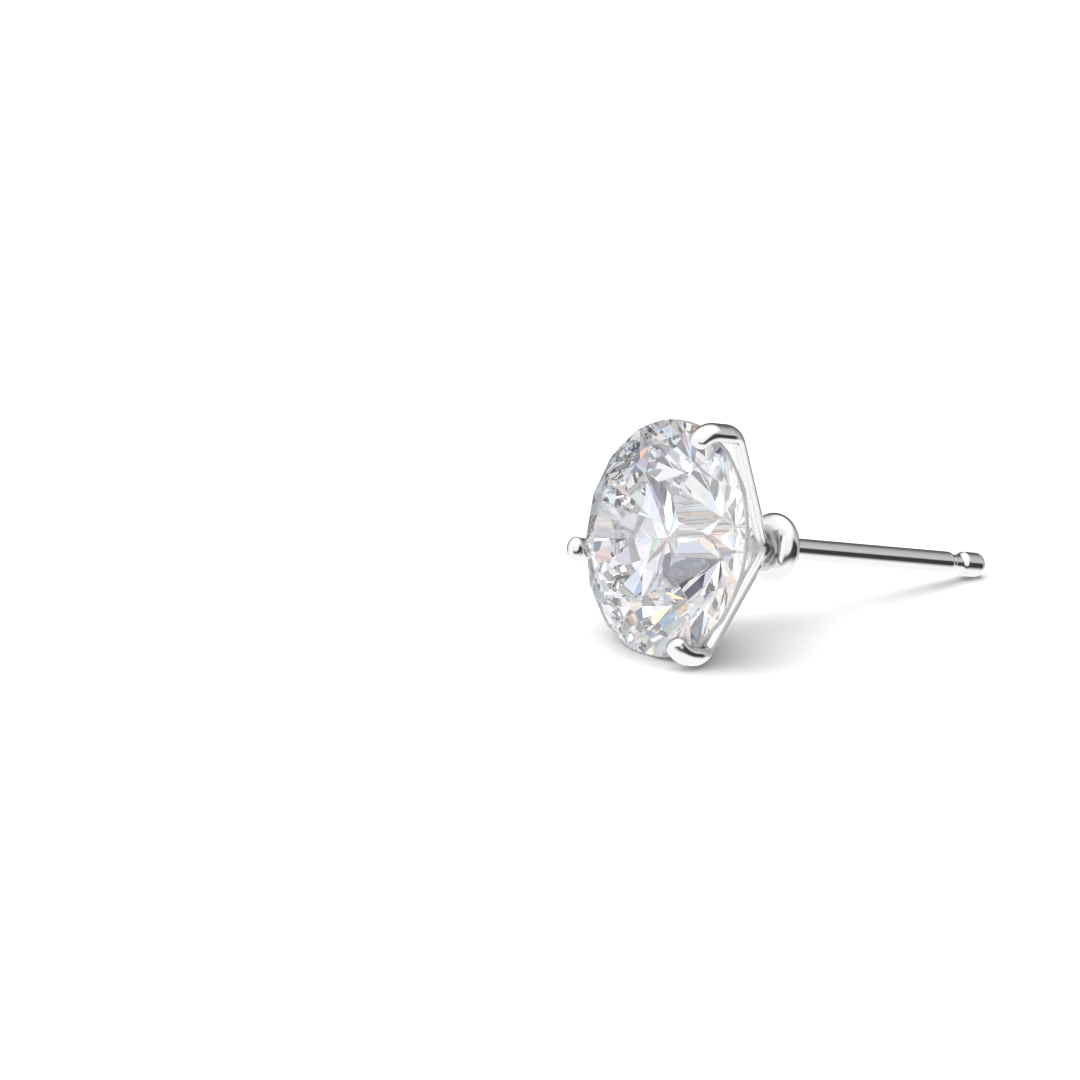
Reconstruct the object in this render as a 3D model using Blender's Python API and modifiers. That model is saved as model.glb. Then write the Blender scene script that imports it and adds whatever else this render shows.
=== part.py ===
"""A stud earring, lying as it rests by itself on a flat surface.

It has two pieces: a round brilliant stone, and a polished metal setting that is soldered into one.
The setting is a cup of three prongs that meet in a stem behind the stone, a ring round that stem, and
a post with a groove and a bead at its tip for a friction back.

Everything is made upright, as on a jeweller's bench: the stud's axis is Z, the middle of the stone's
girdle is at the origin, the table looks up and the post points down. lay_down() then turns the whole
stud onto the side that it rests on, with its face towards -Y, and puts the origin on the floor under
the middle of its box.
"""

import math

import bmesh
import bpy
from mathutils import Matrix, Vector

MM = 0.001

# The stone.
GIRDLE_RADIUS = 4.25 * MM
GIRDLE_THICKNESS = 0.26 * MM
GIRDLE_SIDES = 64
TABLE_RADIUS = 2.42 * MM  # to the table's corners
CULET_RADIUS = 0.06 * MM
CROWN_ANGLE = math.radians(34.5)
PAVILION_ANGLE = math.radians(40.8)
STAR_LENGTH = 0.52  # of the way from the table's edge to the girdle, seen from above
LOWER_HALF_LENGTH = 0.77  # of the way from the girdle to the culet, seen from below
MAIN_FACETS = 8
FACET_TURN = math.radians(11.0)  # of the first bezel facet from +Y

# The prongs: round wires bent over the stone's edge by hand, then drawn broader across. For each one, its
# turn round the axis from +Y towards +X, how far its middle stands out from the girdle's edge, and how far
# below the girdle its leg and claw would meet.
PRONGS = [
    (math.radians(22.0), 0.18 * MM, 0.95 * MM),
    (math.radians(149.0), 0.25 * MM, 0.58 * MM),
    (math.radians(254.0), 0.32 * MM, 1.00 * MM),
]
LEGS_MEET = -4.64 * MM
LEG_RADIUS = 0.20 * MM
CLAW_RADIUS = 0.32 * MM
PRONG_BROADNESS = 1.35
CLAW_TIP_LENGTH = 0.40 * MM  # along the crown, from the upper corner to the middle of the round tip
LOWER_BEND = 1.00 * MM
UPPER_BEND = 0.60 * MM
LOWER_BEND_STEPS = 7
UPPER_BEND_STEPS = 6
TIP_STEPS = 5
SEAT_GAP = 0.04 * MM  # between the stone and the seats cut into the prongs
WIRE_SIDES = 16

# The ring and the post, both turned.
RING_BEHIND_LEGS = 0.49 * MM  # from where the legs meet down to the ring's middle
RING_RADIUS = 0.86 * MM  # to the middle of its wire
RING_WIRE_RADIUS = 0.39 * MM
RING_FLAT_WIDTH = 0.24 * MM  # filed on its back, where it sits on the ear
STEM_ABOVE_LEGS = 0.18 * MM
STEM_RADIUS = 0.30 * MM  # at its top; solder runs down from there in a cone, until it touches the ring
SOLDER_DEPTH = 0.07 * MM  # how far solder comes up round the ring's wire, behind it
POST_RADIUS = 0.40 * MM
POST_LENGTH = 10.0 * MM  # behind the ring
BEAD_RADIUS = 0.45 * MM
BEAD_LENGTH = 0.95 * MM
BEAD_ROUNDING = 0.30 * MM
GROOVE_RADIUS = 0.31 * MM
GROOVE_WIDTH = 0.26 * MM
GROOVE_SLOPE = 0.20 * MM
SHOULDER_SHARE = 0.8  # of the way from the groove to the post's radius, where the slope is broken
BEAD_SHARE = 0.7
RING_STEPS = 13
ROUNDING_STEPS = 5
TURNED_SIDES = 40

# How it lies: of all the sides that it can rest on, the one nearest to this.
EXPECTED_TILT = math.radians(14.5)
STONE_DENSITY = 3520.0
METAL_DENSITY = 20700.0

METAL = ("polished_metal", (0.80, 0.80, 0.81), 0.08, 1.0)
CLEAR_STONE = ("clear_stone", (0.92, 0.93, 0.95), 0.02, 0.0)

RING_HEIGHT = LEGS_MEET - RING_BEHIND_LEGS
TIP_HEIGHT = RING_HEIGHT - RING_WIRE_RADIUS - POST_LENGTH


def clear_scene():
    for obj in list(bpy.data.objects):
        bpy.data.objects.remove(obj)


def collection(name):
    made = bpy.data.collections.new(name)
    bpy.context.scene.collection.children.link(made)
    return made


def material(name, colour, roughness, metallic):
    made = bpy.data.materials.new(name)
    made.use_nodes = True
    shader = made.node_tree.nodes["Principled BSDF"]
    shader.inputs["Base Color"].default_value = (*colour, 1.0)
    shader.inputs["Roughness"].default_value = roughness
    shader.inputs["Metallic"].default_value = metallic
    return made


def object_of(name, bm, home):
    mesh = bpy.data.meshes.new(name)
    bm.to_mesh(mesh)
    bm.free()
    made = bpy.data.objects.new(name, mesh)
    home.objects.link(made)
    return made


def around(angle, radius, height):
    """A point at that angle round the axis, from +Y towards +X."""
    return Vector((radius * math.sin(angle), radius * math.cos(angle), height))


def facet(first, second, third):
    """The plane through three points: a point on it, and its normal away from the axis."""
    normal = (second - first).cross(third - first).normalized()
    if normal.dot(Vector((first.x, first.y, 0))) < 0:
        normal = -normal
    return first, normal


def brilliant_facets():
    """Every facet of a round brilliant, as planes."""
    edge = GIRDLE_THICKNESS / 2
    half_step = math.pi / MAIN_FACETS

    def ridge(from_axis, steepness):
        """Distance from the girdle to the edge between two main facets."""
        return edge + (GIRDLE_RADIUS - from_axis * math.cos(half_step)) * math.tan(steepness)

    table_height = ridge(TABLE_RADIUS, CROWN_ANGLE)
    table_flat = TABLE_RADIUS * math.cos(half_step)
    star_reach = table_flat + STAR_LENGTH * (GIRDLE_RADIUS - table_flat)
    lower_reach = GIRDLE_RADIUS * (1 - LOWER_HALF_LENGTH)
    planes = [
        (Vector((0, 0, table_height)), Vector((0, 0, 1))),
        (Vector((0, 0, -ridge(CULET_RADIUS, PAVILION_ANGLE))), Vector((0, 0, -1))),
    ]
    for k in range(MAIN_FACETS):
        main = FACET_TURN + 2 * half_step * k
        between = main + half_step
        outward = around(main, 1, 0)
        up = Vector((0, 0, 1))
        bezel_normal = outward * math.sin(CROWN_ANGLE) + up * math.cos(CROWN_ANGLE)
        main_normal = outward * math.sin(PAVILION_ANGLE) - up * math.cos(PAVILION_ANGLE)
        planes.append((around(main, GIRDLE_RADIUS, edge), bezel_normal))
        planes.append((around(main, GIRDLE_RADIUS, -edge), main_normal))
        # a bezel runs from one table corner to the girdle, and a star lies between two corners
        star = around(main + half_step, star_reach, ridge(star_reach, CROWN_ANGLE))
        corners = [around(main + s * half_step, TABLE_RADIUS, table_height) for s in (0, 2)]
        planes.append(facet(star, *corners))
        lower = around(between, lower_reach, -ridge(lower_reach, PAVILION_ANGLE))
        for side in (main, main + 2 * half_step):
            for point, height in ((star, edge), (lower, -edge)):
                rim = [around(a, GIRDLE_RADIUS, height) for a in (side, between)]
                planes.append(facet(point, *rim))
    return planes


def grind(bm, point, normal):
    """Takes off all that lies outside a plane, and closes the flat that this leaves."""
    geometry = bm.verts[:] + bm.edges[:] + bm.faces[:]
    bmesh.ops.bisect_plane(
        bm, geom=geometry, dist=1e-8, plane_co=point, plane_no=normal, clear_outer=True
    )
    rim = [edge for edge in bm.edges if edge.is_boundary]
    if rim:
        bmesh.ops.holes_fill(bm, edges=rim)


def brilliant(name, home, growth=0.0):
    """The stone, or with growth a copy whose every facet stands that far outside the stone's."""
    bm = bmesh.new()
    bmesh.ops.create_cone(
        bm,
        cap_ends=True,
        segments=GIRDLE_SIDES,
        radius1=GIRDLE_RADIUS + growth,
        radius2=GIRDLE_RADIUS + growth,
        depth=4 * GIRDLE_RADIUS,
        matrix=Matrix.Rotation(-FACET_TURN, 4, "Z"),
    )
    for point, normal in brilliant_facets():
        grind(bm, point + normal * growth, normal)
    bmesh.ops.recalc_face_normals(bm, faces=bm.faces[:])
    return object_of(name, bm, home)


def bend(before, corner, after, radius, steps):
    """The arc of that radius that rounds a corner of the wire."""
    into = (corner - before).normalized()
    out_of = (after - corner).normalized()
    turn = into.angle(out_of)
    inward = Vector((-into.y, into.x))
    start = corner - into * radius * math.tan(turn / 2)
    centre = start + inward * radius
    arc = []
    for i in range(steps + 1):
        angle = turn * i / steps
        arc.append(centre + (into * math.sin(angle) - inward * math.cos(angle)) * radius)
    return arc


def prong_path(reach, drop):
    """The wire as (distance from the axis, height, radius), from the axis to the tip."""
    crown = Vector((-math.cos(CROWN_ANGLE), math.sin(CROWN_ANGLE)))
    off_crown = Vector((math.sin(CROWN_ANGLE), math.cos(CROWN_ANGLE)))
    beside_crown = Vector((GIRDLE_RADIUS, GIRDLE_THICKNESS / 2))
    beside_crown += off_crown * (CLAW_RADIUS + SEAT_GAP)
    out = GIRDLE_RADIUS + reach
    lower_corner = Vector((out, -drop))
    foot = Vector((0, LEGS_MEET))
    foot -= (lower_corner - foot).normalized() * LEG_RADIUS  # sunk in the stem
    upper_corner = beside_crown + crown * (out - beside_crown.x) / crown.x
    tip = upper_corner + crown * CLAW_TIP_LENGTH
    lower_arc = bend(foot, lower_corner, upper_corner, LOWER_BEND, LOWER_BEND_STEPS)
    upper_arc = bend(lower_corner, upper_corner, tip, UPPER_BEND, UPPER_BEND_STEPS)
    path = [(foot.x, foot.y, LEG_RADIUS)]
    path.append((*foot.lerp(lower_arc[0], 0.5), LEG_RADIUS))
    for i, spot in enumerate(lower_arc):
        share = i / (len(lower_arc) - 1)
        path.append((*spot, LEG_RADIUS + (CLAW_RADIUS - LEG_RADIUS) * share))
    path += [(*spot, CLAW_RADIUS) for spot in upper_arc]
    for i in range(TIP_STEPS + 1):
        angle = math.radians(86) * i / TIP_STEPS
        spot = tip + crown * CLAW_RADIUS * math.sin(angle)
        path.append((*spot, CLAW_RADIUS * math.cos(angle)))
    return path


def prong(name, turn, reach, drop, home):
    """One prong, at that angle round the axis."""
    line = bpy.data.curves.new(name, "CURVE")
    line.dimensions = "3D"
    line.bevel_depth = 1.0
    line.bevel_resolution = (WIRE_SIDES - 4) // 4
    line.use_fill_caps = True
    path = prong_path(reach, drop)
    spline = line.splines.new("POLY")
    spline.points.add(len(path) - 1)
    for point, (from_axis, height, radius) in zip(spline.points, path):
        point.co = (0, from_axis, height, 1)
        point.radius = radius
    wire = bpy.data.objects.new(name + "_line", line)
    home.objects.link(wire)
    graph = bpy.context.evaluated_depsgraph_get()
    mesh = bpy.data.meshes.new_from_object(wire.evaluated_get(graph))
    bpy.data.objects.remove(wire)
    bm = bmesh.new()
    bm.from_mesh(mesh)
    bmesh.ops.remove_doubles(bm, verts=bm.verts[:], dist=1e-8)
    bmesh.ops.recalc_face_normals(bm, faces=bm.faces[:])
    broader = Matrix.Diagonal((PRONG_BROADNESS, 1, 1, 1))
    bmesh.ops.transform(bm, verts=bm.verts[:], matrix=Matrix.Rotation(-turn, 4, "Z") @ broader)
    return object_of(name, bm, home)


def ring_profile(from_out, from_height):
    """The ring's outside, from where a cone that comes down from that spot touches it, to its back."""
    away = Vector((from_out - RING_RADIUS, from_height - RING_HEIGHT))
    touches = math.atan2(away.y, away.x) - math.acos(RING_WIRE_RADIUS / away.length)
    half_flat = math.asin(RING_FLAT_WIDTH / 2 / RING_WIRE_RADIUS)
    back = -math.pi / 2
    inner_end = -math.acos(SOLDER_DEPTH / RING_WIRE_RADIUS - 1)
    angles = [touches + (back + half_flat - touches) * i / RING_STEPS for i in range(RING_STEPS + 1)]
    angles += [back - half_flat, (back - half_flat + inner_end) / 2, inner_end]
    profile = []
    for angle in angles:
        out = RING_RADIUS + RING_WIRE_RADIUS * math.cos(angle)
        profile.append((out, RING_HEIGHT + RING_WIRE_RADIUS * math.sin(angle)))
    return profile


def post_profile():
    """Stem, ring, post and bead, from the top down to the tip."""
    bead_top = TIP_HEIGHT + BEAD_LENGTH
    groove_bottom = bead_top + GROOVE_SLOPE
    groove_top = groove_bottom + GROOVE_WIDTH
    shoulder = groove_top + GROOVE_SLOPE
    top = LEGS_MEET + STEM_ABOVE_LEGS
    profile = [(0, top), (STEM_RADIUS, top)]
    profile += ring_profile(STEM_RADIUS, top)
    profile += [
        (POST_RADIUS, profile[-1][1] - (profile[-1][0] - POST_RADIUS)),
        (POST_RADIUS, shoulder + GROOVE_SLOPE),
        (GROOVE_RADIUS + (POST_RADIUS - GROOVE_RADIUS) * SHOULDER_SHARE, shoulder),
        (GROOVE_RADIUS, groove_top),
        (GROOVE_RADIUS, groove_bottom),
        (GROOVE_RADIUS + (BEAD_RADIUS - GROOVE_RADIUS) * BEAD_SHARE, bead_top),
        (BEAD_RADIUS, bead_top - GROOVE_SLOPE),
    ]
    for i in range(ROUNDING_STEPS + 1):
        angle = math.pi / 2 * i / ROUNDING_STEPS
        out = BEAD_RADIUS - BEAD_ROUNDING * (1 - math.cos(angle))
        profile.append((out, TIP_HEIGHT + BEAD_ROUNDING * (1 - math.sin(angle))))
    return profile + [(0, TIP_HEIGHT)]


def turned(name, profile, home):
    """A profile turned round the axis. It runs down its outer side, from top to bottom."""
    bm = bmesh.new()
    points = [bm.verts.new((out, 0, height)) for out, height in profile]
    for pair in zip(points, points[1:]):
        bm.edges.new(pair)
    made = object_of(name, bm, home)
    screw = made.modifiers.new("turn", "SCREW")
    screw.steps = TURNED_SIDES
    screw.render_steps = TURNED_SIDES
    screw.use_merge_vertices = True
    screw.merge_threshold = 1e-6
    return made


def setting(home, wires, cutters):
    """The post, ring and prongs as one soldered solid, with the stone's seat cut into the prongs."""
    made = turned("setting", post_profile(), home)
    for k, (turn, reach, drop) in enumerate(PRONGS):
        prong(f"prong_wire_{k + 1}", turn, reach, drop, wires)
    solder = made.modifiers.new("solder", "BOOLEAN")
    solder.operation = "UNION"
    solder.operand_type = "COLLECTION"
    solder.collection = wires
    seat = made.modifiers.new("seat", "BOOLEAN")
    seat.operation = "DIFFERENCE"
    seat.object = brilliant("seat_cutter", cutters, growth=SEAT_GAP)
    return made


def weigh(obj, density):
    """The points of a finished piece, its mass and its mass times its centre."""
    graph = bpy.context.evaluated_depsgraph_get()
    bm = bmesh.new()
    bm.from_object(obj, graph)
    mass = 0.0
    moment = Vector((0, 0, 0))
    for a, b, c in bm.calc_loop_triangles():
        corners = [loop.vert.co for loop in (a, b, c)]
        wedge = density * corners[0].dot(corners[1].cross(corners[2])) / 6
        mass += wedge
        moment += wedge * (corners[0] + corners[1] + corners[2]) / 4
    points = [v.co.copy() for v in bm.verts]
    bm.free()
    return points, mass, moment


def resting_side(points, centre):
    """The way down, for the stable side of the stud that lies nearest to the expected one."""
    expected = Vector((0, -math.cos(EXPECTED_TILT), -math.sin(EXPECTED_TILT)))
    bm = bmesh.new()
    for point in points:
        bm.verts.new(point / MM)
    bmesh.ops.convex_hull(bm, input=bm.verts[:])
    middle = centre / MM
    best = None
    for face in bm.faces:
        corners = [v.co.copy() for v in face.verts]
        normal = (corners[1] - corners[0]).cross(corners[2] - corners[0])
        if normal.length < 1e-6:
            continue
        normal.normalize()
        if normal.dot(corners[0] - middle) < 0:
            normal = -normal
            corners.reverse()
        sides = zip(corners, corners[1:] + corners[:1])
        inside = all((b - a).cross(middle - a).dot(normal) >= 0 for a, b in sides)
        if inside and (best is None or normal.dot(expected) > best.dot(expected)):
            best = normal
    bm.free()
    return best


def lay_down(pieces, helpers):
    """Parents everything to an empty that turns the stud onto its resting side."""
    weighed = [weigh(obj, density) for obj, density in pieces]
    points = [point for found, _, _ in weighed for point in found]
    mass = sum(entry[1] for entry in weighed)
    centre = sum((entry[2] for entry in weighed), Vector((0, 0, 0))) / mass
    up = -resting_side(points, centre)
    axis = Vector((0, 0, -1))
    backward = (axis - up * axis.dot(up)).normalized()
    sideways = backward.cross(up)
    turn = Matrix((sideways, backward, up)).to_4x4()
    placed = [turn @ point for point in points]
    low = Vector([min(p[i] for p in placed) for i in range(3)])
    high = Vector([max(p[i] for p in placed) for i in range(3)])
    shift = Vector((-(low.x + high.x) / 2, -(low.y + high.y) / 2, -low.z))
    pose = bpy.data.objects.new("pose", None)
    bpy.context.scene.collection.objects.link(pose)
    pose.matrix_world = Matrix.Translation(shift) @ turn
    for obj in [piece for piece, _ in pieces] + helpers:
        obj.parent = pose


def build():
    clear_scene()
    home = collection("stud_earring")
    wires = collection("wires")
    cutters = collection("cutters")
    stone = brilliant("stone", home)
    stone.data.materials.append(material(*CLEAR_STONE))
    metal = setting(home, wires, cutters)
    metal.data.materials.append(material(*METAL))
    bpy.context.view_layer.update()
    helpers = list(wires.objects) + list(cutters.objects)
    for obj in helpers:
        obj.hide_render = True
        obj.display_type = "WIRE"
    lay_down([(stone, STONE_DENSITY), (metal, METAL_DENSITY)], helpers)


build()
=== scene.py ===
"""A stud earring: a round brilliant in a cup of three prongs, on a post with a ring behind the cup."""

import math

import bpy
import numpy as np
from mathutils import Matrix, Vector


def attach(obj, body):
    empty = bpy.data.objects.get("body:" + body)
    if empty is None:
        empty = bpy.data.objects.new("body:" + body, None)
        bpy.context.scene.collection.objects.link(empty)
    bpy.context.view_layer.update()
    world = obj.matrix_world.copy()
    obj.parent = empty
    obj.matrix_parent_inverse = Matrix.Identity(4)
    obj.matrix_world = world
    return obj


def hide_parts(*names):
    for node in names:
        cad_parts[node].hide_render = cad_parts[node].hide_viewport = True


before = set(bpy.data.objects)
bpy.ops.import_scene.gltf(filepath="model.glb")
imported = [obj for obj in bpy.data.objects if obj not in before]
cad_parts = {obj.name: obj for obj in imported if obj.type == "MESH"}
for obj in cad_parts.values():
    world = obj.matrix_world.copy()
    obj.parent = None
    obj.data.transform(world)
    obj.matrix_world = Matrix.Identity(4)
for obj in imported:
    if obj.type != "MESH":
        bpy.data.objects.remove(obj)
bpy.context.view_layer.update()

# The camera
# It stands to the right of the stone's face and a little above it, far enough off that nothing looks
# foreshortened. It aims beside the stud, which then lies on the right of the frame as in the photograph.
MM = 0.001
GIRDLE_CENTRE = Vector((0.000216, -0.00654, 0.004134))
CAMERA_AZIMUTH = math.radians(49.88)
CAMERA_ELEVATION = math.radians(16.07)
CAMERA_ROLL = math.radians(0.37)
LENS = 300.0
FILM_WIDTH = 36.0
FRAME_WIDTH = 38.556 * MM
AIM_LEFT = 4.545 * MM
AIM_DOWN = 0.071 * MM

to_camera = Vector((
    math.sin(CAMERA_AZIMUTH) * math.cos(CAMERA_ELEVATION),
    -math.cos(CAMERA_AZIMUTH) * math.cos(CAMERA_ELEVATION),
    math.sin(CAMERA_ELEVATION),
))
camera_right = Vector((math.cos(CAMERA_AZIMUTH), math.sin(CAMERA_AZIMUTH), 0))
camera_up = to_camera.cross(camera_right)
lens = bpy.data.cameras.new("camera")
lens.lens = LENS
lens.sensor_width = FILM_WIDTH
lens.clip_start = 1 * MM
lens.dof.use_dof = False
camera = bpy.data.objects.new("camera", lens)
bpy.context.scene.collection.objects.link(camera)
stand = GIRDLE_CENTRE + to_camera * FRAME_WIDTH * LENS / FILM_WIDTH
rolled_right = camera_right * math.cos(CAMERA_ROLL) + camera_up * math.sin(CAMERA_ROLL)
rolled_up = to_camera.cross(rolled_right)
back = (stand - GIRDLE_CENTRE + rolled_right * AIM_LEFT + rolled_up * AIM_DOWN).normalized()
rolled_right = rolled_up.cross(back).normalized()
turn = Matrix((rolled_right, back.cross(rolled_right), back)).transposed().to_4x4()
camera.matrix_world = Matrix.Translation(stand) @ turn
bpy.context.scene.camera = camera

# The stone
# A round brilliant of 8.5 mm, cut and polished as a diamond is, so that its facets are flat and meet in
# crisp edges. Only the thin band of its girdle is left a little frosted from its first rounding. It is
# held by the prongs alone.
FACING = Vector((0.0, -0.970175, 0.242404))  # the way the table looks
SKYWARD = Vector((0.0, 0.242404, 0.970175))  # up, in the plane of the girdle
GIRDLE_RADIUS = 4.25
GIRDLE_HALF = 0.13
STONE_IOR = 2.417
GIRDLE_FROST = 0.55
BAND_SOFTNESS = 0.03  # of the frost's edge, along the stud's axis
BAND_START = 0.06  # how far inside the girdle's radius the frost starts, and where it is full
BAND_FULL = 0.02


def node(tree, kind, *values, **settings):
    """A shader node with these values or links in its first inputs; gives the first output."""
    made = tree.nodes.new("ShaderNode" + kind)
    for name, value in settings.items():
        setattr(made, name, value)
    for socket, value in zip(made.inputs, values):
        if isinstance(value, bpy.types.NodeSocket):
            tree.links.new(value, socket)
        elif value is not None:
            socket.default_value = value
    return made.outputs[0]


def maths(tree, operation, *values):
    return node(tree, "Math", *values, operation=operation)


def dot(tree, vector, direction):
    product = node(tree, "VectorMath", vector, tuple(direction), operation="DOT_PRODUCT")
    return product.node.outputs["Value"]


def ramp(tree, value, start, end, low=0.0, high=1.0):
    """Runs smoothly from low to high while value goes from start to end."""
    return node(tree, "MapRange", value, start, end, low, high, interpolation_type="SMOOTHSTEP")


def finish_of(name, **sockets):
    """A new material, its tree and its shader, with these plain values on the shader."""
    made = bpy.data.materials.new(name)
    made.use_nodes = True
    shader = made.node_tree.nodes["Principled BSDF"]
    for socket, value in sockets.items():
        shader.inputs[socket.replace("_", " ")].default_value = value
    return made, made.node_tree, shader


cut_stone, tree, shader = finish_of(
    "cut_stone", Base_Color=(1.0, 1.0, 1.0, 1.0), IOR=STONE_IOR, Transmission_Weight=1.0
)
place = node(tree, "TexCoord").node.outputs["Object"]
from_girdle = node(tree, "VectorMath", place, tuple(GIRDLE_CENTRE), operation="SUBTRACT")
height = maths(tree, "ABSOLUTE", dot(tree, from_girdle, FACING))
inside_band = ramp(
    tree, height, (GIRDLE_HALF - BAND_SOFTNESS) * MM, GIRDLE_HALF * MM, 1.0, 0.0
)
out = node(tree, "VectorMath", from_girdle, operation="LENGTH").node.outputs["Value"]
at_edge = ramp(
    tree, out, (GIRDLE_RADIUS - BAND_START) * MM, (GIRDLE_RADIUS - BAND_FULL) * MM
)
on_girdle = maths(tree, "MULTIPLY", inside_band, at_edge)
frost = maths(tree, "MULTIPLY", on_girdle, GIRDLE_FROST)
tree.links.new(frost, shader.inputs["Roughness"])
# a ray that comes from a mirror outside the stone passes it unseen, so the metal doesn't show the stone
path = node(tree, "LightPath").node.outputs
outside = maths(tree, "LESS_THAN", path["Transmission Depth"], 0.5)
mirrored = maths(tree, "MULTIPLY", path["Is Glossy Ray"], outside)
tree.links.new(maths(tree, "SUBTRACT", 1.0, mirrored), shader.inputs["Alpha"])
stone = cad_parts["stone"]
for slot in stone.material_slots:
    slot.material = cut_stone

# The setting
# Three prongs, bent from wire that is broader than it is thick, are soldered with a ring to the stem of a
# post, which is turned with a groove and a bead for a friction back. It is one piece of white precious
# metal, filed smooth at its joints, with seats cut for the stone, and polished bright.

# turn in degrees from straight up towards +X, how far out the wire stands, the height at which leg and
# claw would meet, the height of the foot, and how far the claw reaches over the crown
PRONGS = [
    (20.07, 4.43, -0.95, -4.64, 0.40),
    (147.07, 4.50, -0.58, -4.82, 0.40),
    (252.07, 4.57, -1.00, -4.64, 0.15),
]
PRONG_BROADNESS = 1.35
LEG_RADIUS = 0.22
CLAW_RADIUS = 0.32
CROWN_SLOPE = math.radians(34.5)
LOWER_BEND = 1.00
UPPER_BEND = 0.60
SEAT_GAP = 0.04
RING_HEIGHT = -5.13
RING_RADIUS = 0.86
RING_WIRE_RADIUS = 0.39
RING_BACK = -5.501
STEM_TOP = -4.46
STEM_RADIUS = 0.30
SOLDER_TOP = -4.79  # where the solder fills the ring
SOLDER_BACK = -5.36
POST_RADIUS = 0.40
POST_END = -13.80
GROOVE_RADIUS = 0.31
GROOVE_TOP = -14.11
GROOVE_BOTTOM = -14.37
BEAD_RADIUS = 0.45
BEAD_TOP = -14.62
BEAD_ROUNDING = 0.30
TIP = -15.52
PRONG_FILLET = 0.28
RING_FILLET = 0.06
SOLDER_FILLET = 0.45
EDGE_ROUNDING = 0.04
LOWEST_SEAT = -2.0
GRAIN = 0.04  # size of the mesh's faces
POLISH_ROUNDS = 6
EVENING_ROUNDS = 4  # in how many of them the faces are also evened out
EVENING_SHARE = 0.6
LEAST_STEEPNESS = 1e-3
# the corner between the stem and the ring is hard to buff, so it is duller, and its colour is darkened
# there as painted shade of the hollow: its middle, and how far from there the dullness and the painted
# shade start, are full and have ended
JOINT = Vector((0.0, 0.0, -4.84))
CORNER_START = 0.20
CORNER_INSIDE = 0.45
CORNER_OUTSIDE = 0.95
CORNER_DULLNESS = 0.22
PAINTED_CORNER_SHADE = (0.22, 0.22, 0.23, 1.0)
PAINTED_SHADE_SHARE = 0.85
COOL_METAL = (0.81, 0.815, 0.83, 1.0)
WARM_METAL = (0.845, 0.84, 0.835, 1.0)
POLISH_ROUGHNESS = (0.09, 0.16)
WEAR_RANGE = (0.35, 0.75)
# the scale, detail and roughness of each noise
WEAR_NOISE = (900.0, 3.0, 0.6)
TINT_NOISE = (300.0, 2.0, 0.5)
SCUFF_NOISE = (5200.0, 4.0, 0.55)
SCUFF_STRENGTH = 0.03
SCUFF_DEPTH = 0.002


def smooth_step(share):
    share = np.clip(share, 0, 1)
    return share * share * (3 - 2 * share)


def soldered(a, b, fillet):
    """The distance to two joined shapes, with a fillet of solder between them."""
    near = np.maximum(fillet - np.abs(a - b), 0) / fillet
    return np.minimum(a, b) - near * near * fillet / 4


def filed(a, b):
    """The distance to what two shapes share, with the edge between them rounded by polishing."""
    return -soldered(-a, -b, EDGE_ROUNDING)


def round_bend(before, corner, after, radius):
    """Centre, first angle and turn of the arc that rounds a corner of the wire."""
    into = (corner - before) / np.linalg.norm(corner - before)
    out_of = (after - corner) / np.linalg.norm(after - corner)
    turned_by = math.acos(into @ out_of)
    inward = np.array((-into[1], into[0]))
    centre = corner - into * radius * math.tan(turned_by / 2) + inward * radius
    return centre, math.atan2(-inward[1], -inward[0]), turned_by


def prong_stretches(out, drop, foot_height, claw_reach):
    """The wire's runs and bends in the plane (distance from the axis, height), each with its radius."""
    over_crown = (CLAW_RADIUS + SEAT_GAP) / math.cos(CROWN_SLOPE)
    foot = np.array((0.0, foot_height))
    lower = np.array((out, drop))
    upper = np.array((out, GIRDLE_HALF + over_crown + (GIRDLE_RADIUS - out) * math.tan(CROWN_SLOPE)))
    tip = upper + claw_reach * np.array((-math.cos(CROWN_SLOPE), math.sin(CROWN_SLOPE)))
    bends = [
        (*round_bend(foot, lower, upper, LOWER_BEND), LOWER_BEND, LEG_RADIUS, CLAW_RADIUS),
        (*round_bend(lower, upper, tip, UPPER_BEND), UPPER_BEND, CLAW_RADIUS, CLAW_RADIUS),
    ]
    runs = []
    start, width = foot, LEG_RADIUS
    for centre, first, turned_by, radius, _, after in bends:
        spots = [
            centre + radius * np.array((math.cos(a), math.sin(a))) for a in (first, first + turned_by)
        ]
        runs.append((start, spots[0], width))
        start, width = spots[1], after
    runs.append((start, tip, width))
    return runs, bends


def prong_distance(points, turn, *measures):
    """Distance from the skin of the prong at that turn round the axis."""
    runs, bends = prong_stretches(*measures)
    along = points[:, 0] * math.sin(turn) + points[:, 1] * math.cos(turn)
    across = (points[:, 0] * math.cos(turn) - points[:, 1] * math.sin(turn)) / PRONG_BROADNESS
    flat = np.stack((along, points[:, 2]), axis=1)
    found = np.full(len(points), np.inf)
    for start, end, width in runs:
        run = end - start
        share = np.clip((flat - start) @ run / (run @ run), 0, 1)
        gap = flat - start - share[:, None] * run
        found = np.minimum(found, np.sqrt((gap**2).sum(1) + across**2) - width)
    for centre, first, turned_by, radius, before, after in bends:
        spoke = flat - centre
        angle = np.arctan2(spoke[:, 1], spoke[:, 0]) - first
        angle = (angle + math.pi) % (2 * math.pi) - math.pi
        angle = np.clip(angle, 0, turned_by)
        gap = spoke - radius * np.stack((np.cos(first + angle), np.sin(first + angle)), axis=1)
        width = before + (after - before) * smooth_step(angle / turned_by)
        found = np.minimum(found, np.sqrt((gap**2).sum(1) + across**2) - width)
    return found


def rounded_end(out, beyond, radius, rounding):
    """Distance to a round bar that ends where beyond is 0, with its edge rounded."""
    side = out - (radius - rounding)
    end = beyond + rounding
    outside = np.hypot(np.maximum(side, 0), np.maximum(end, 0))
    return outside + np.minimum(np.maximum(side, end), 0) - rounding


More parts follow.
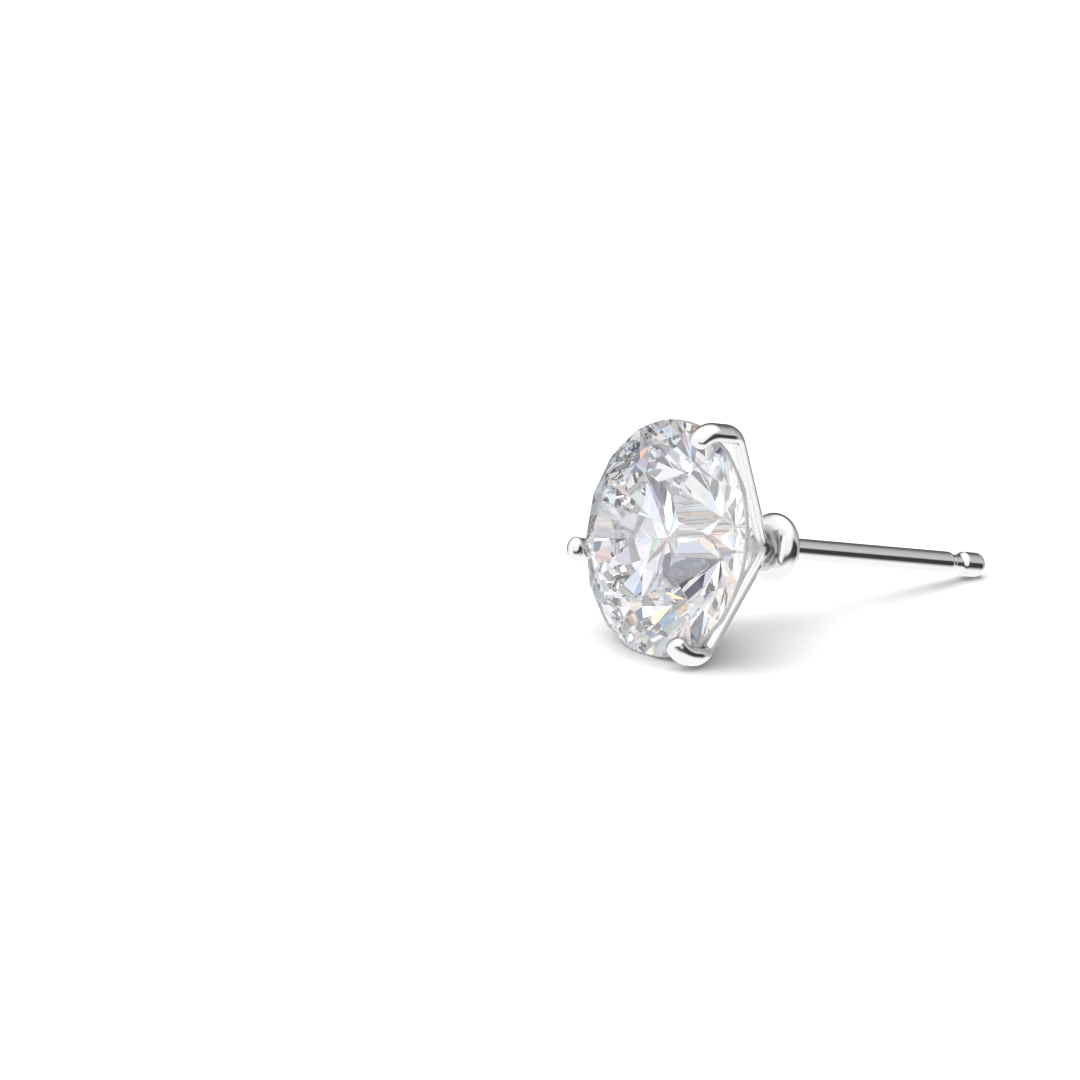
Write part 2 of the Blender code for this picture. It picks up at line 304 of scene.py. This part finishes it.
def turned_distance(points):
    """Distance from the skin of the stem, the ring and the post, which are all turned."""
    out = np.hypot(points[:, 0], points[:, 1])
    height = points[:, 2]
    ring = np.hypot(out - RING_RADIUS, height - RING_HEIGHT) - RING_WIRE_RADIUS
    ring = filed(ring, RING_BACK - height)
    stem = filed(out - STEM_RADIUS, height - STEM_TOP)
    solder = np.maximum(out - RING_RADIUS, height - SOLDER_TOP)
    stem = np.maximum(soldered(stem, solder, SOLDER_FILLET), SOLDER_BACK - height)
    thickness = POST_RADIUS + (GROOVE_RADIUS - POST_RADIUS) * smooth_step(
        (POST_END - height) / (POST_END - GROOVE_TOP)
    )
    thickness = thickness + (BEAD_RADIUS - GROOVE_RADIUS) * smooth_step(
        (GROOVE_BOTTOM - height) / (GROOVE_BOTTOM - BEAD_TOP)
    )
    post = rounded_end(out, TIP - height, thickness, BEAD_ROUNDING)
    post = np.maximum(post, height - RING_HEIGHT)
    return soldered(soldered(ring, stem, RING_FILLET), post, RING_FILLET)


def stone_planes():
    """For every facet of the stone, its outward normal and how far along that it lies on the bench."""
    planes = {}
    for polygon in stone.data.polygons:
        normal = bench_turn @ polygon.normal
        spot = to_bench @ stone.data.vertices[polygon.vertices[0]].co
        plane = (*normal, normal.dot(spot))
        planes[tuple(round(part, 3) for part in plane)] = plane
    return np.array(list(planes.values()))


def setting_distance(points):
    """Distance from the skin of the whole setting."""
    found = turned_distance(points)
    for turn, *measures in PRONGS:
        found = soldered(found, prong_distance(points, math.radians(turn), *measures), PRONG_FILLET)
    near = points[:, 2] > LOWEST_SEAT
    seat = SEAT_GAP - (points[near] @ facets[:, :3].T - facets[:, 3]).max(axis=1)
    found[near] = filed(found[near], seat)
    return found


def outward(points, step=0.002):
    """The way straight out of the skin at each point, and how steeply the distance grows there."""
    parts = []
    for axis in range(3):
        shift = np.zeros(3)
        shift[axis] = step
        growth = setting_distance(points + shift) - setting_distance(points - shift)
        parts.append(growth / (2 * step))
    slope = np.stack(parts, axis=1)
    steepness = np.maximum(np.linalg.norm(slope, axis=1), LEAST_STEEPNESS)
    return slope / steepness[:, None], steepness


# the bench has the stud's axis along Z and its sizes in millimetres
bench_turn = Matrix((Vector((1.0, 0.0, 0.0)), SKYWARD, FACING))
to_bench = (bench_turn.to_4x4() @ Matrix.Translation(-GIRDLE_CENTRE)).copy()
to_bench = Matrix.Scale(1 / MM, 4) @ to_bench
facets = stone_planes()
rough = bpy.data.objects.new("rough_setting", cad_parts["setting"].data.copy())
rough.data.transform(to_bench)
bpy.context.scene.collection.objects.link(rough)
voxels = rough.modifiers.new("voxels", "REMESH")
voxels.mode = "VOXEL"
voxels.voxel_size = GRAIN
graph = bpy.context.evaluated_depsgraph_get()
skin = bpy.data.meshes.new_from_object(rough.evaluated_get(graph))
bpy.data.objects.remove(rough)

points = np.empty(len(skin.vertices) * 3)
skin.vertices.foreach_get("co", points)
points = points.reshape(-1, 3)
edges = np.empty(len(skin.edges) * 2, dtype=int)
skin.edges.foreach_get("vertices", edges)
edges = np.concatenate((edges.reshape(-1, 2), edges.reshape(-1, 2)[:, ::-1]))
neighbours = np.maximum(np.bincount(edges[:, 0], minlength=len(points)), 1)[:, None]
for done in range(POLISH_ROUNDS):
    way, steepness = outward(points)
    if done < EVENING_ROUNDS:  # evens out the faces along the skin
        sums = [np.bincount(edges[:, 0], points[edges[:, 1], axis], len(points)) for axis in range(3)]
        slide = np.stack(sums, axis=1) / neighbours - points
        points = points + EVENING_SHARE * (slide - way * (slide * way).sum(axis=1)[:, None])
        way, steepness = outward(points)
    reach = np.clip(setting_distance(points) / steepness, -2 * GRAIN, 2 * GRAIN)
    points = points - way * reach[:, None]
way, _ = outward(points)
skin.vertices.foreach_set("co", points.ravel())
skin.update()
skin.polygons.foreach_set("use_smooth", np.ones(len(skin.polygons), dtype=bool))
skin.transform(to_bench.inverted())
back = np.array(bench_turn.transposed())
skin.normals_split_custom_set_from_vertices([tuple(normal) for normal in way @ back.T])
skin.name = "setting_metal"
setting = bpy.data.objects.new("setting_metal", skin)
bpy.context.scene.collection.objects.link(setting)

white_metal, tree, shader = finish_of("white_metal", Metallic=1.0)
place = node(tree, "TexCoord").node.outputs["Object"]
wear = node(tree, "TexNoise", place, None, *WEAR_NOISE)
joint = node(tree, "VectorMath", place, tuple(to_bench.inverted() @ JOINT), operation="DISTANCE")
from_joint = joint.node.outputs["Value"]
in_corner = ramp(tree, from_joint, CORNER_INSIDE * MM, CORNER_OUTSIDE * MM, 1.0, 0.0)
off_legs = ramp(tree, from_joint, CORNER_START * MM, CORNER_INSIDE * MM)
in_corner = maths(tree, "MULTIPLY", in_corner, off_legs)
polish = ramp(tree, wear, *WEAR_RANGE, *POLISH_ROUGHNESS)
dullness = maths(tree, "MULTIPLY_ADD", in_corner, CORNER_DULLNESS, polish)
tree.links.new(dullness, shader.inputs["Roughness"])
tint = node(tree, "TexNoise", place, None, *TINT_NOISE)
shade = node(tree, "Mix", tint, data_type="RGBA").node
shade.inputs["A"].default_value = COOL_METAL
shade.inputs["B"].default_value = WARM_METAL
# the dark colour mixed in round the corner is painted shade, not a colour of the metal
painted_shade_share = maths(tree, "MULTIPLY", in_corner, PAINTED_SHADE_SHARE)
corner = node(tree, "Mix", painted_shade_share, data_type="RGBA").node
tree.links.new(shade.outputs["Result"], corner.inputs["A"])
corner.inputs["B"].default_value = PAINTED_CORNER_SHADE
tree.links.new(corner.outputs["Result"], shader.inputs["Base Color"])
scuffs = node(tree, "TexNoise", place, None, *SCUFF_NOISE)
bump = node(tree, "Bump", SCUFF_STRENGTH, SCUFF_DEPTH * MM, None, scuffs)
tree.links.new(bump, shader.inputs["Normal"])
skin.materials.clear()
skin.materials.append(white_metal)
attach(setting, "root")
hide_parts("setting")

# The floor and the studio's light
# A plain white sheet, under a white tent that is open at the back. The tent is the world's light, and
# darker cards stand low round the stud to draw its outlines. The sheet is lit softly from above, a
# little from the left.
FLOOR_SIZE = 1.2
FLOOR_COLOUR = 0.92
SHEET_LIGHT = 2.75  # where it is brightest
SHEET_LIGHT_ASIDE = 0.36
SHEET_LIGHT_LEAN = 0.35  # towards the camera's left, for 1 upwards
SHEET_LIGHT_START = 0.4  # cosine of the angle from there at which it starts to brighten
UNDER_STONE = 0.62  # how much of the light comes down through the stone
TENT_WHITE = 1.22
BELOW_WHITE = 1.12
# towards the camera, away from it, and to its right and left: the card's lower and upper edge (as the
# height of a direction of length 1), how bright the card is, and how bright the tent is above it
CARD_BOTTOM = (-0.38, -0.42, -0.50, -0.30)
CARD_TOP = (0.00, -0.12, -0.08, 0.10)
CARD_LIGHT = (0.08, 0.30, 0.05, 0.30)
ABOVE_CARD = (1.08, 0.09, 0.68, 1.15)
CARD_PEAK = 0.60  # how much higher the card stands at its peak
CARD_PEAK_WAY = math.radians(60)
CARD_PEAK_SHARPNESS = 6
HORIZON = (-0.15, -0.40, -0.42, -0.15)
HORIZON_SOFTNESS = 0.12
CARD_MIDDLE = math.radians(30)  # how far the card's middle stands to the right of the camera
CARD_ENDS = (0.12, 0.50)
TENT_TOP = (0.48, 0.80)
BOTTOM_SOFTNESS = 0.22
TOP_SOFTNESS = 0.13
# what the stone shows of the studio: lamps, and cards where the light is negative, at these degrees
# right of the camera and above the sheet, how wide they look, and their light. The first ten were
# fitted to the stone's blurred colours in the photograph and some then changed, and the other five
# were added
STONE_LAMPS = [
    (170, -7, 0.42, (0.50, 0.49, 0.47)),
    (-53, 56, 0.30, (0.45, 0.45, 0.41)),
    (-49, -30, 0.30, (0.42, 0.43, 0.42)),
    (2, 26, 0.30, (-0.30, -0.40, -0.42)),
    (85, -8, 0.30, (-0.46, -0.44, -0.32)),
    (-146, 73, 0.50, (0.31, 0.29, 0.26)),
    (128, -38, 0.30, (0.33, 0.34, 0.27)),
    (-38, 33, 0.30, (-0.32, -0.32, -0.30)),
    (-164, -66, 0.30, (-0.32, -0.27, -0.20)),
    (-7, -1, 0.30, (-0.32, -0.33, -0.33)),
    (-118, -30, 0.35, (0.00, 0.00, 0.15)),
    (-33, 15, 0.20, (0.02, 0.00, 0.16)),
    (-12, 30, 0.07, (3.2, 1.3, 0.35)),
    (-24, -7, 0.07, (1.5, 1.7, 2.0)),
    (-34, 33, 0.05, (0.05, 0.28, 0.10)),
]
STONE_LIGHT = (0.645, 0.655, 0.69)
LEAST_STONE_LIGHT = (0.05, 0.05, 0.05)
MOTTLE = 0.40  # how much the light in the stone varies from cloud to cloud
MOTTLE_NOISE = (2.6, 2.0, 0.5)
MOTTLE_RANGE = (0.36, 0.64)
FIRE = 0.02  # how far red and blue are each shifted from green in the mottle, one to each side
FIRE_WAY = Vector((0.35, 0.5, 1.0))
NOT_ZERO = 0.0001

floor_mesh = bpy.data.meshes.new("floor")
half = FLOOR_SIZE / 2
floor_mesh.from_pydata(
    [(-half, -half, 0), (half, -half, 0), (half, half, 0), (-half, half, 0)], [], [(0, 1, 2, 3)]
)
floor = bpy.data.objects.new("floor", floor_mesh)
bpy.context.scene.collection.objects.link(floor)
sheet, _, _ = finish_of(
    "white_sheet", Base_Color=(*(FLOOR_COLOUR,) * 3, 1.0), Roughness=1.0, Specular_IOR_Level=0.0
)
floor_mesh.materials.append(sheet)
floor.visible_glossy = False
floor.visible_transmission = False

front = Vector((math.sin(CAMERA_AZIMUTH), -math.cos(CAMERA_AZIMUTH), 0))
tent = bpy.data.node_groups.new("tent", "ShaderNodeTree")
tent.interface.new_socket("Direction", in_out="INPUT", socket_type="NodeSocketVector")
tent.interface.new_socket("Light", in_out="OUTPUT", socket_type="NodeSocketFloat")
entry = tent.nodes.new("NodeGroupInput").outputs[0]
direction = node(tent, "VectorMath", entry, operation="NORMALIZE")
up = dot(tent, direction, (0, 0, 1))
ahead = dot(tent, direction, front)
right = dot(tent, direction, camera_right)


def squared_above_zero(tree, value):
    return maths(tree, "POWER", maths(tree, "MAXIMUM", value, 0.0), 2.0)


level = maths(tent, "SUBTRACT", 1 + NOT_ZERO, maths(tent, "MULTIPLY", up, up))
sides = [
    maths(tent, "DIVIDE", squared_above_zero(tent, side), level)
    for side in (ahead, maths(tent, "MULTIPLY", ahead, -1.0), right)
]
weights = node(tent, "CombineXYZ", *sides)


def round_about(values):
    """A value that changes smoothly from front to back, right and left."""
    left = values[3]
    beyond_left = [value - left for value in values[:3]]
    return maths(tent, "ADD", dot(tent, weights, beyond_left), left)


def toward(turned):
    """1 at that turn from the camera to its right, at any height, and less elsewhere."""
    way = front * math.cos(turned) + camera_right * math.sin(turned)
    return maths(tent, "DIVIDE", dot(tent, direction, way), maths(tent, "SQRT", level))


def fade(middle, softness, low=0.0, high=1.0):
    """Runs smoothly from low to high while a direction rises past that height."""
    start = maths(tent, "SUBTRACT", middle, softness)
    end = maths(tent, "ADD", middle, softness)
    return ramp(tent, up, start, end, low, high)


peak = maths(tent, "MAXIMUM", toward(CARD_PEAK_WAY), 0.0)
peak = maths(tent, "POWER", peak, CARD_PEAK_SHARPNESS)
bottom = round_about(CARD_BOTTOM)
top = maths(tent, "MULTIPLY_ADD", peak, CARD_PEAK, round_about(CARD_TOP))
over_bottom = fade(bottom, BOTTOM_SOFTNESS)
under_top = fade(top, TOP_SOFTNESS, 1.0, 0.0)
overhead = ramp(tent, up, *TENT_TOP)
above = node(tent, "Mix", overhead, None, round_about(ABOVE_CARD), TENT_WHITE)
over_horizon = fade(round_about(HORIZON), HORIZON_SOFTNESS)
rest_of_tent = node(tent, "Mix", over_horizon, None, BELOW_WHITE, above)
card = maths(tent, "MULTIPLY", over_bottom, under_top)
card = maths(tent, "MULTIPLY", card, ramp(tent, toward(CARD_MIDDLE), *CARD_ENDS))
light = node(tent, "Mix", card, None, rest_of_tent, round_about(CARD_LIGHT))
tent.links.new(light, tent.nodes.new("NodeGroupOutput").inputs[0])

world = bpy.data.worlds.new("studio")
world.use_nodes = True
bpy.context.scene.world = world
world.cycles.sampling_method = "NONE"
tree = world.node_tree
direction = node(tree, "TexCoord").node.outputs["Generated"]
path = node(tree, "LightPath").node.outputs
# a ray that has been through the stone sees the lamps made for it, and any other sees the tent
through_stone = maths(tree, "GREATER_THAN", path["Transmission Depth"], 0.5)
metal_tent = tree.nodes.new("ShaderNodeGroup")
metal_tent.node_tree = tent
tree.links.new(direction, metal_tent.inputs[0])
mottle = []
for spread in (-FIRE, 0.0, FIRE):
    seen = node(tree, "VectorMath", direction, tuple(FIRE_WAY * spread), operation="ADD")
    cloud = node(tree, "TexNoise", seen, None, *MOTTLE_NOISE)
    mottle.append(ramp(tree, cloud, *MOTTLE_RANGE, -MOTTLE, MOTTLE))
mottle = node(tree, "CombineXYZ", *mottle)
stone_light = node(tree, "VectorMath", mottle, STONE_LIGHT, operation="ADD")
for turned, raised, width, lamp in STONE_LAMPS:
    turned, raised = math.radians(turned), math.radians(raised)
    way = front * math.cos(turned) + camera_right * math.sin(turned)
    way = way * math.cos(raised) + Vector((0, 0, math.sin(raised)))
    away = maths(tree, "SUBTRACT", dot(tree, direction, way), 1.0)
    glow = maths(tree, "EXPONENT", maths(tree, "MULTIPLY", away, 2 / width**2))
    shone = node(tree, "VectorMath", lamp, None, operation="SCALE")
    tree.links.new(glow, shone.node.inputs["Scale"])
    stone_light = node(tree, "VectorMath", stone_light, shone, operation="ADD")
stone_light = node(tree, "VectorMath", stone_light, LEAST_STONE_LIGHT, operation="MAXIMUM")
tent_light = node(tree, "Mix", through_stone, data_type="RGBA").node
tree.links.new(metal_tent.outputs[0], tent_light.inputs["A"])
tree.links.new(stone_light, tent_light.inputs["B"])
# a ray that comes from the sheet sees a soft light of its own, dimmed where the stone is in its way
on_sheet = maths(tree, "GREATER_THAN", path["Diffuse Depth"], 0.5)
studio = node(tree, "Mix", on_sheet, data_type="RGBA").node
tree.links.new(tent_light.outputs["Result"], studio.inputs["A"])
overhead_way = (Vector((0, 0, 1)) - camera_right * SHEET_LIGHT_LEAN).normalized()
leaning = dot(tree, direction, overhead_way)
from_above = ramp(tree, leaning, SHEET_LIGHT_START, 1.0, SHEET_LIGHT_ASIDE, SHEET_LIGHT)
dimmed = ramp(tree, through_stone, 0.0, 1.0, 1.0, UNDER_STONE)
tree.links.new(maths(tree, "MULTIPLY", from_above, dimmed), studio.inputs["B"])
background = tree.nodes["Background"]
tree.links.new(studio.outputs["Result"], background.inputs["Color"])

scene = bpy.context.scene
scene.view_settings.view_transform = "Standard"
scene.cycles.max_bounces = 24
scene.cycles.glossy_bounces = 20
scene.cycles.transmission_bounces = 20
scene.cycles.diffuse_bounces = 3
